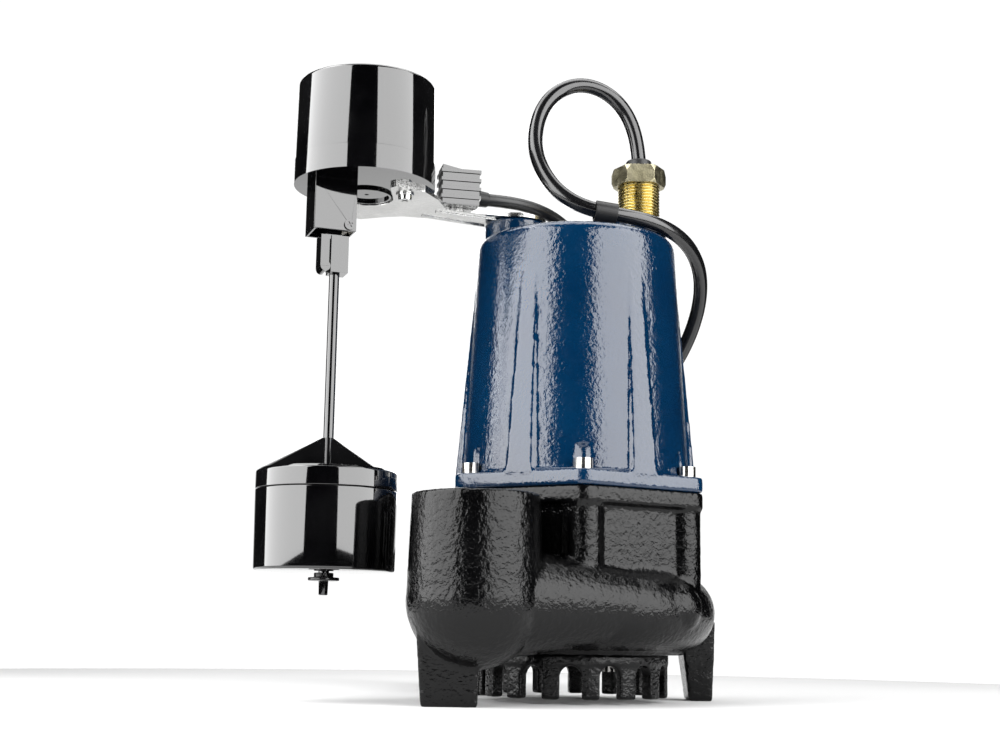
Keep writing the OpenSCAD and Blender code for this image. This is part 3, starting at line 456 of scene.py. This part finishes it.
def cast_skin(name, node, voxel, passes, material, lumps, body="pump", snaps=()):
    """The CAD casting with filleted corners and a cast surface.

    lumps are (lump size in mm, height in mm) pairs. snaps put near vertices back on true round surfaces.
    """
    source = NODES[node]
    work = bpy.data.objects.new(name + "_work", source.data.copy())
    bpy.context.collection.objects.link(work)
    remesh = work.modifiers.new("remesh", "REMESH")
    remesh.mode = "VOXEL"
    remesh.voxel_size = voxel * MM
    ease = work.modifiers.new("ease", "SMOOTH")
    ease.factor = 0.5
    ease.iterations = passes
    graph = bpy.context.evaluated_depsgraph_get()
    data = bpy.data.meshes.new_from_object(work.evaluated_get(graph))
    data.name = name
    bpy.data.objects.remove(work)
    count = len(data.vertices)
    co = np.empty(count * 3)
    data.vertices.foreach_get("co", co)
    co = co.reshape(-1, 3) / MM - np.array(AXIS)
    for snap in snaps:
        co = snap(co)
    normals = np.empty(count * 3)
    data.vertices.foreach_get("normal", normals)
    normals = normals.reshape(-1, 3)
    height = np.zeros(count)
    for size, rise in lumps:
        height += rise * np.array([noise.noise(Vector(c) / size) for c in co])
    co = (co + normals * height[:, None] + np.array(AXIS)) * MM
    data.vertices.foreach_set("co", co.ravel())
    piece = bpy.data.objects.new(name, data)
    bpy.context.collection.objects.link(piece)
    finished(data, material, 0)
    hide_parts(node)
    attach(piece, body)
    return piece


# ---------------------------------------------------------------- castings

def onto_cone(x, y, z0, r0, z1, r1, reach=0.12):
    def snap(co):
        dx, dy = co[:, 0] - x, co[:, 1] - y
        r = np.hypot(dx, dy)
        want = r0 + (r1 - r0) * (co[:, 2] - z0) / (z1 - z0)
        near = (np.abs(r - want) < reach) & (co[:, 2] > z0) & (co[:, 2] < z1)
        scale = np.where(near, want / np.maximum(r, 1e-6), 1.0)
        co[:, 0], co[:, 1] = x + dx * scale, y + dy * scale
        return co
    return snap


def onto_torus(ring, z, section, reach=0.12):
    def snap(co):
        r = np.hypot(co[:, 0], co[:, 1])
        away = np.hypot(r - ring, co[:, 2] - z)
        scale = np.where(np.abs(away - section) < reach, section / np.maximum(away, 1e-6), 1.0)
        new_r = ring + (r - ring) * scale
        co[:, :2] *= (new_r / np.maximum(r, 1e-6))[:, None]
        co[:, 2] = z + (co[:, 2] - z) * scale
        return co
    return snap


cast_skin("volute_casting", "volute_casing", 1.15, 7, black_paint,
          [(3.4, 0.12), (2.1, 0.09), (34.0, 0.15)],
          snaps=(onto_torus(55, 47.5, 20.8), onto_cone(-52.8, -84, 51, 33.5, 103, 31.8)))
cast_skin("motor_housing_casting", "motor_housing", 1.15, 5, blue_paint,
          [(3.0, 0.04), (2.0, 0.035)],
          snaps=(onto_cone(0, 0, 109.5, 63.4, 247, 55.3),))
cast_skin("strainer_casting", "suction_strainer", 0.8, 5, black_paint, [(3.5, 0.07), (1.8, 0.04)])
cast_skin("oil_plug_dome", "oil_fill_plug", 0.6, 3, blue_paint, [(3.0, 0.05)])
power_plug_body = cast_skin("power_plug_body", "power_plug", 0.7, 4, rubber, [(6.0, 0.04)])
piggyback_plug_body = cast_skin("piggyback_plug_body", "piggyback_plug", 0.7, 4, rubber,
                                [(6.0, 0.04)])

for piece, line, diameter, pieces, nodes in (
    (power_cord, power_line, POWER_D,
     [power_plug_body] + [NODES[n] for n in ("power_plug_blades", "power_cord_tie", "cord_sleeve")],
     ("power_cord", "power_cord_hank")),
    (switch_cord, switch_line, SWITCH_D,
     [piggyback_plug_body] + [NODES[n] for n in ("piggyback_blades", "switch_cord_tie")],
     ("switch_cord", "switch_cord_hank")),
):
    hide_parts(*nodes)
    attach(piece, "pump")


# ---------------------------------------------------------------- round pieces

SWITCH = (-117, -41)
ROD = (-131, -48)
GLAND = (35.7, 2)
DISCHARGE = (-52.8, -84)

lathe("switch_cap_moulding",
      [(0, 326.8), (34.6, 326.8, 1), (35.0, 285, 0.3), (37.7, 285, 0.3), (37.3, 329, 1.8), (0, 329)],
      SWITCH, gloss_plastic, "pump", ["switch_cap"], segments=160)
lathe("float_cup_moulding",
      [(2.8, 65), (36.2, 65, 1.4), (36.8, 106.1, 0.35), (34.3, 106.1), (34.3, 67), (4.35, 67), (4.35, 106.1),
       (2.8, 106.1), (2.8, 65)],
      ROD, gloss_plastic, "float", ["float_cup"], segments=160)
lathe("float_cone_moulding",
      [(2.8, 106.5), (34.8, 106.5), (36.8, 106.5, 0.35), (36.8, 115.5, 1.2), (35.0, 116.9, 1.0), (3.8, 134, 0.8),
       (2.8, 134), (2.8, 106.5)],
      ROD, gloss_plastic, "float", ["float_cone"], segments=160)
lathe("float_rod_round",
      [(0, 53), (2.3, 53, 0.5), (2.5, 60.2, 0.1), (2.75, 60.4), (2.75, 230), (0, 230)],
      ROD, gloss_plastic, "rod", ["float_rod"], segments=48)
lathe("float_clip_washer",
      [(2.76, 60.4), (8, 60.4, 0.4), (8, 62, 0.4), (5, 62.2, 0.3), (5, 64.4, 0.4), (2.76, 64.4), (2.76, 60.4)],
      ROD, satin_plastic, "rod", ["float_clip"], segments=64)
lathe("cord_grommet_round",
      [(4.25, 272), (6.3, 272), (6.3, 294.6), (8.1, 294.6), (7.2, 303.5, 1.4), (4.25, 303.5, 0.3), (4.25, 272)],
      GLAND, rubber, "pump", ["cord_grommet"], segments=96)


def threaded(name, centre, z0, z1, wall_r, root_r, depth, pitch, material, nodes=(), segments=96):
    """A pipe thread as one closed sleeve: the helical face is at root_r + depth, the plain wall at wall_r."""
    rows = round((z1 - z0) / pitch * 10)
    x0, y0 = centre
    vertices = []
    for i in range(rows + 1):
        z = z0 + (z1 - z0) * i / rows
        fade = min(1.0, 1.5 * i / 10, 1.5 * (rows - i) / 10)
        for k in range(segments):
            a = 2 * math.pi * k / segments
            phase = ((z - z0) / pitch - k / segments) % 1.0
            tooth = min(1.0, max(0.0, 1.25 - 2.5 * abs(phase - 0.5)))
            r = root_r + depth * fade * tooth
            vertices.append(row((x0 + r * math.cos(a), y0 + r * math.sin(a), z)))
    for z in (z1, z0):
        for k in range(segments):
            a = 2 * math.pi * k / segments
            vertices.append(row((x0 + wall_r * math.cos(a), y0 + wall_r * math.sin(a), z)))
    order = list(range(rows + 3)) + [0]
    faces = [
        (a * segments + k, a * segments + (k + 1) % segments, b * segments + (k + 1) % segments, b * segments + k)
        for a, b in zip(order, order[1:]) for k in range(segments)
    ]
    piece = mesh_object(name, vertices, faces)
    mend(piece.data)
    finished(piece.data, material, 50)
    if nodes:
        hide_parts(*nodes)
    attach(piece, "pump")
    return piece


threaded("gland_thread", GLAND, 254, 293, 6.5, 10.9, 0.9, 1.814, brass, ["gland_body"])
threaded("outlet_thread", DISCHARGE, 79, 102.4, 24.6, 23.5, -1.0, 2.209, black_paint, segments=128)


# ---------------------------------------------------------------- CAD pieces that keep their shape

LOOKS = {
    gloss_plastic: ["switch_lid", "guide_box", "pivot_pin", "rod_head", "cord_clamp"],
    satin_plastic: ["run_capacitor", "thermal_protector"],
    rubber: ["seal_plate_o_ring", "seal_head", "motor_leads", "cord_clamp_boot", "power_cord_tie",
             "cord_sleeve", "switch_cord_tie"],
    cream_plastic: ["seal_seat", "switch_lever", "snap_switch", "switch_plunger"],
    stainless: ["switch_bracket", "bracket_screws", "bracket_bolt"],
    turned_steel: ["strainer_screws", "flange_bolts", "motor_shaft", "lower_bearing_outer", "lower_bearing_inner",
                   "upper_bearing_outer", "upper_bearing_inner", "wave_washer", "seal_spring"],
    brass: ["impeller_nut", "power_plug_blades", "piggyback_blades"],
    dull_brass: ["gland_nut"],
    black_paint: ["seal_plate", "impeller"],
    cast_aluminium: ["rotor_end_rings"],
    lamination_steel: ["rotor_core", "stator_core"],
    copper_wire: ["stator_windings"],
}
ROUNDED = {
    "switch_lid": 0.45, "guide_box": 0.4, "rod_head": 0.6, "cord_clamp": 0.5, "switch_bracket": 0.3,
    "bracket_bolt": 0.4, "bracket_screws": 0.15, "flange_bolts": 0.35, "gland_nut": 0.5, "cord_sleeve": 0.3,
    "cord_clamp_boot": 0.3, "power_plug_blades": 0.25, "piggyback_blades": 0.25, "power_cord_tie": 0.25,
    "switch_cord_tie": 0.25, "pivot_pin": 0.12, "strainer_screws": 0.3, "seal_plate": 0.5, "impeller": 0.5,
    "impeller_nut": 0.4, "motor_shaft": 0.4, "rotor_end_rings": 0.5,
}
for material, nodes in LOOKS.items():
    for node in nodes:
        paint_node(node, material)
for node, width in ROUNDED.items():
    round_off(node, width)
power_cord.data.materials.append(power_jacket)
switch_cord.data.materials.append(switch_jacket)


# ---------------------------------------------------------------- floor and light

FLOOR_R, FLOOR_Y, FLOOR_SIDES = 0.6, 0.08, 96
CORNERS = [math.tau * k / FLOOR_SIDES for k in range(FLOOR_SIDES)]
floor = mesh_object(
    "floor",
    [(FLOOR_R * math.cos(a), FLOOR_Y + FLOOR_R * math.sin(a), 0) for a in CORNERS],
    [tuple(range(FLOOR_SIDES))],
)
paper = Nodes("white_paper", (0.64, 0.64, 0.64), 0.9)
paper.set("Specular IOR Level", 0.0)
paper.link(paper.ramp(paper.noise(3, 2), 0.64, 0.65), paper.shader.inputs["Base Color"])
coat_with(floor, paper.material)


def softbox(name, at, towards, width, height, radiance):
    """A rectangular soft light of a given brightness as seen in a reflection."""
    data = bpy.data.lights.new(name, "AREA")
    data.shape = "RECTANGLE"
    data.size, data.size_y = width, height
    data.energy = radiance * width * height * math.pi
    light = bpy.data.objects.new(name, data)
    bpy.context.collection.objects.link(light)
    light.location = at
    light.rotation_mode = "QUATERNION"
    light.rotation_quaternion = (Vector(towards) - Vector(at)).to_track_quat("-Z", "Y")
    return light


softbox("softbox_left", (-0.495, -0.45, 0.56), (0.045, -0.45, 0.50), 1.02, 1.05, 6.0)
softbox("softbox_right", (0.625, -0.72, 0.56), (0.045, -0.60, 0.50), 1.30, 1.05, 5.6)
softbox("softbox_top", (0.0, 0.3, 1.7), (0, 0.3, 0), 2.2, 1.2, 3.2)
softbox("softbox_back", (0.0, 1.7, 0.7), (0, 0.7, 0.0), 0.9, 1.0, 2.5)

world = bpy.data.worlds.new("studio")
world.use_nodes = True
bpy.context.scene.world = world
tree = world.node_tree
background = tree.nodes["Background"]
way = tree.nodes.new("ShaderNodeSeparateXYZ")
tree.links.new(tree.nodes.new("ShaderNodeTexCoord").outputs["Generated"], way.inputs["Vector"])
# the surround is dark except behind the object, where it lights the outlines
studio = tree.nodes.new("ShaderNodeMapRange")
studio.interpolation_type = "SMOOTHSTEP"
for socket, value in (("From Min", 0.86), ("From Max", 0.98), ("To Min", 0.008), ("To Max", 1.0)):
    studio.inputs[socket].default_value = value
tree.links.new(way.outputs["Y"], studio.inputs["Value"])
tree.links.new(studio.outputs["Result"], background.inputs["Strength"])
# what the camera sees directly is white paper
white = tree.nodes.new("ShaderNodeBackground")
white.inputs["Color"].default_value = (1, 1, 1, 1)
white.inputs["Strength"].default_value = 1.05
background.inputs["Color"].default_value = (1, 1, 1, 1)
rays = tree.nodes.new("ShaderNodeLightPath")
choose = tree.nodes.new("ShaderNodeMixShader")
tree.links.new(rays.outputs["Is Camera Ray"], choose.inputs["Fac"])
tree.links.new(background.outputs["Background"], choose.inputs[1])
tree.links.new(white.outputs["Background"], choose.inputs[2])
tree.links.new(choose.outputs["Shader"], tree.nodes["World Output"].inputs["Surface"])
bpy.context.scene.view_settings.view_transform = "Standard"
bpy.context.scene.view_settings.look = "None"


# ---------------------------------------------------------------- close

bpy.context.view_layer.update()
